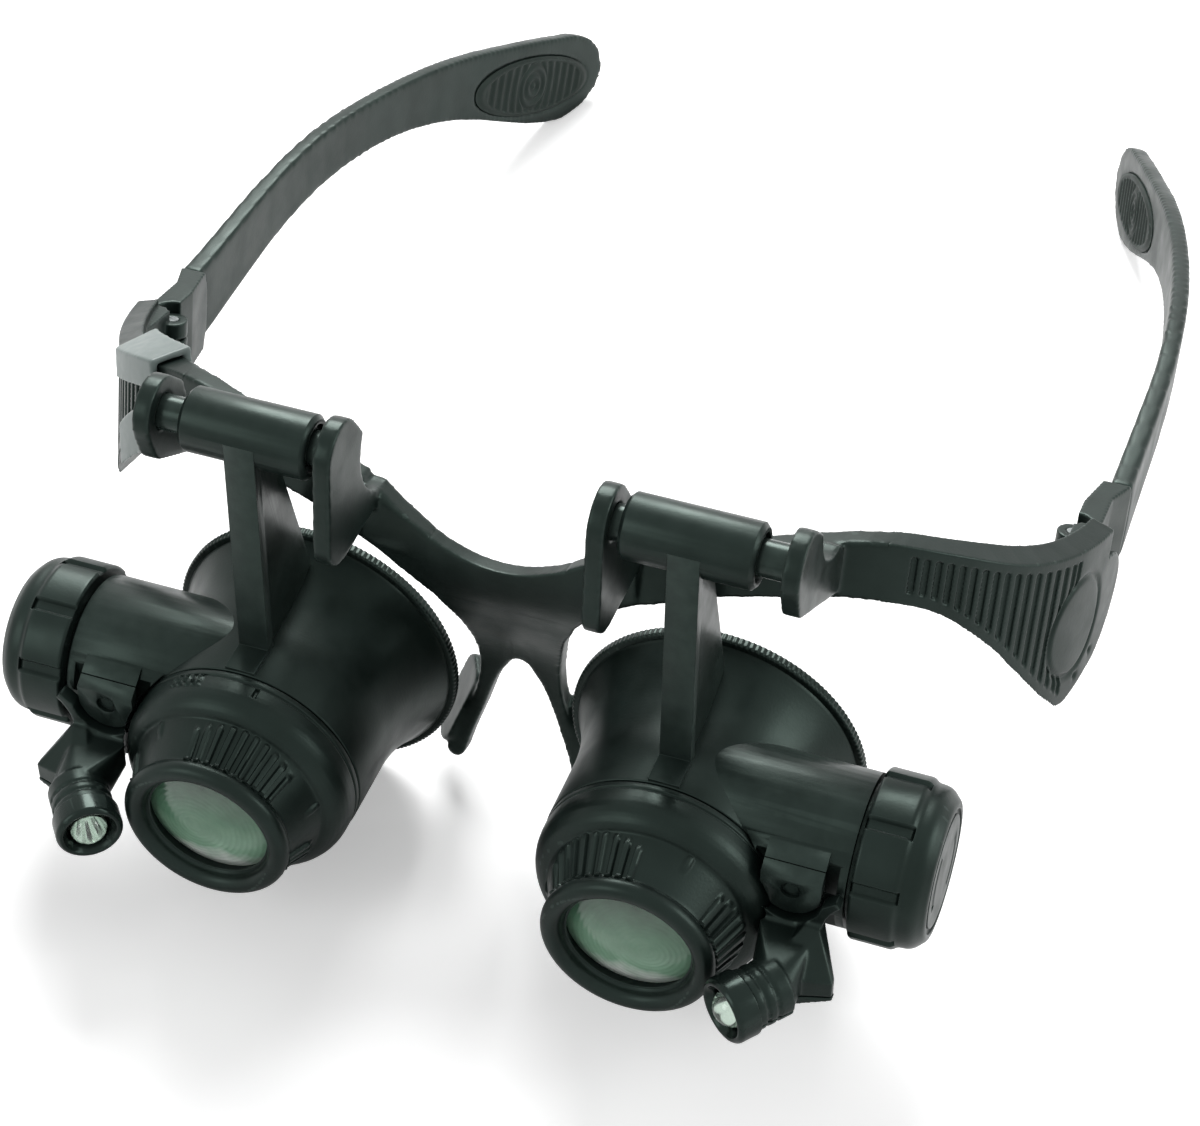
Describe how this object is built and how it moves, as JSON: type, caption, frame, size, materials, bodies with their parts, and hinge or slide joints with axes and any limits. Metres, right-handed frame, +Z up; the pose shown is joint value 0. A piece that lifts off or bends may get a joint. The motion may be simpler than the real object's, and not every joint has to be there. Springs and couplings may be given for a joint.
{
  "type": "lighted headband magnifier",
  "caption": "Spectacle-frame magnifier with folding temples, tilting loupes that slide on shafts, twist-out eyepieces and swivelling LED lamps fed by button cells.",
  "frame": {"origin": "middle of the footprint on the table, under the loupes and the temple tips, at the object's lowest point", "axes": "+X to the wearer's left, +Y to the back along the temples, +Z up; the object stands on the two eyecup rims and the two temple tips"},
  "size_m": [0.1542, 0.2232, 0.0783],
  "materials": {
    "black_abs": "satin black moulded plastic with a fine matte grain",
    "grip_rubber": "soft black grip pad",
    "bezel_black": "smooth black",
    "lens_glass": "clear with a faint green tint",
    "led_epoxy": "clear dome",
    "nylon": "waxy black acetal",
    "steel": "ground",
    "cell_steel": "nickel plated",
    "brass": "plain",
    "clip_grey": "translucent grey film-like plastic"
  },
  "bodies": {
    "frame": {"front_frame": "black_abs", "corner_clip": "clip_grey", "pivot_shaft_left": "bezel_black", "pivot_shaft_right": "bezel_black", "hinge_pin_left": "steel", "hinge_pin_right": "steel"},
    "bush_left": {"friction_bush_left": "nylon"},
    "loupe_left": {"loupe_arm_left": "black_abs", "eyecup_left": "black_abs", "eyecup_rim_left": "black_abs", "battery_tube_left": "black_abs", "button_cells_left": "cell_steel", "cell_contact_left": "brass", "lamp_pin_left": "steel"},
    "cap_left": {"battery_cap_left": "black_abs", "cap_contact_left": "cell_steel"},
    "lamp_left": {"lamp_arm_upper_left": "black_abs", "lamp_arm_lower_left": "black_abs", "lamp_bezel_left": "bezel_black", "led_left": "led_epoxy"},
    "eyepiece_left": {"eyepiece_barrel_left": "black_abs", "lens_left": "lens_glass", "lens_ring_left": "bezel_black"},
    "temple_left": {"hinge_block_left": "black_abs", "temple_left": "black_abs", "temple_pad_left": "grip_rubber"},
    "bush_right": {"friction_bush_right": "nylon"},
    "loupe_right": {"loupe_arm_right": "black_abs", "eyecup_right": "black_abs", "eyecup_rim_right": "black_abs", "battery_tube_right": "black_abs", "button_cells_right": "cell_steel", "cell_contact_right": "brass", "lamp_pin_right": "steel"},
    "cap_right": {"battery_cap_right": "black_abs", "cap_contact_right": "cell_steel"},
    "lamp_right": {"lamp_arm_upper_right": "black_abs", "lamp_arm_lower_right": "black_abs", "lamp_bezel_right": "bezel_black", "led_right": "led_epoxy"},
    "eyepiece_right": {"eyepiece_barrel_right": "black_abs", "lens_right": "lens_glass", "lens_ring_right": "bezel_black"},
    "temple_right": {"hinge_block_right": "black_abs", "temple_right": "black_abs", "temple_pad_right": "grip_rubber"}
  },
  "joints": [
    {"name": "bush_slide_left", "type": "slide", "parent": "frame", "child": "bush_left", "axis": [1, 0, 0], "range_m": [-0.0013, 0.0035]},
    {"name": "loupe_tilt_left", "type": "hinge", "parent": "bush_left", "child": "loupe_left", "pos_m": [0.0307, -0.07808, 0.0734], "axis": [-1, 0, 0], "range_deg": [0, 100]},
    {"name": "eyepiece_twist_left", "type": "hinge", "parent": "loupe_left", "child": "eyepiece_left", "pos_m": [0.0307, -0.09348, 0.0218], "axis": [0, -1, 0], "range_deg": [0, 25]},
    {"name": "cap_twist_left", "type": "hinge", "parent": "loupe_left", "child": "cap_left", "pos_m": [0.0607, -0.08098, 0.0273], "axis": [1, 0, 0], "range_deg": [0, 60]},
    {"name": "lamp_swing_left", "type": "hinge", "parent": "loupe_left", "child": "lamp_left", "pos_m": [0.05, -0.09073, 0.0297], "axis": [0, -1, 0], "range_deg": [0, 18]},
    {"name": "temple_fold_left", "type": "hinge", "parent": "frame", "child": "temple_left", "pos_m": [0.0706, -0.02722, 0.03677], "axis": [0, 0.2542, 0.9672], "range_deg": [0, 72]},
    {"name": "bush_slide_right", "type": "slide", "parent": "frame", "child": "bush_right", "axis": [-1, 0, 0], "range_m": [-0.0013, 0.0035]},
    {"name": "loupe_tilt_right", "type": "hinge", "parent": "bush_right", "child": "loupe_right", "pos_m": [-0.0307, -0.07808, 0.0734], "axis": [-1, 0, 0], "range_deg": [0, 100]},
    {"name": "eyepiece_twist_right", "type": "hinge", "parent": "loupe_right", "child": "eyepiece_right", "pos_m": [-0.0307, -0.09348, 0.0218], "axis": [0, 1, 0], "range_deg": [0, 25]},
    {"name": "cap_twist_right", "type": "hinge", "parent": "loupe_right", "child": "cap_right", "pos_m": [-0.0607, -0.08098, 0.0273], "axis": [-1, 0, 0], "range_deg": [0, 60]},
    {"name": "lamp_swing_right", "type": "hinge", "parent": "loupe_right", "child": "lamp_right", "pos_m": [-0.05, -0.09073, 0.0297], "axis": [0, 1, 0], "range_deg": [0, 18]},
    {"name": "temple_fold_right", "type": "hinge", "parent": "frame", "child": "temple_right", "pos_m": [-0.0706, -0.02722, 0.03677], "axis": [0, 0.2542, 0.9672], "range_deg": [-72, 0]}
  ]
}
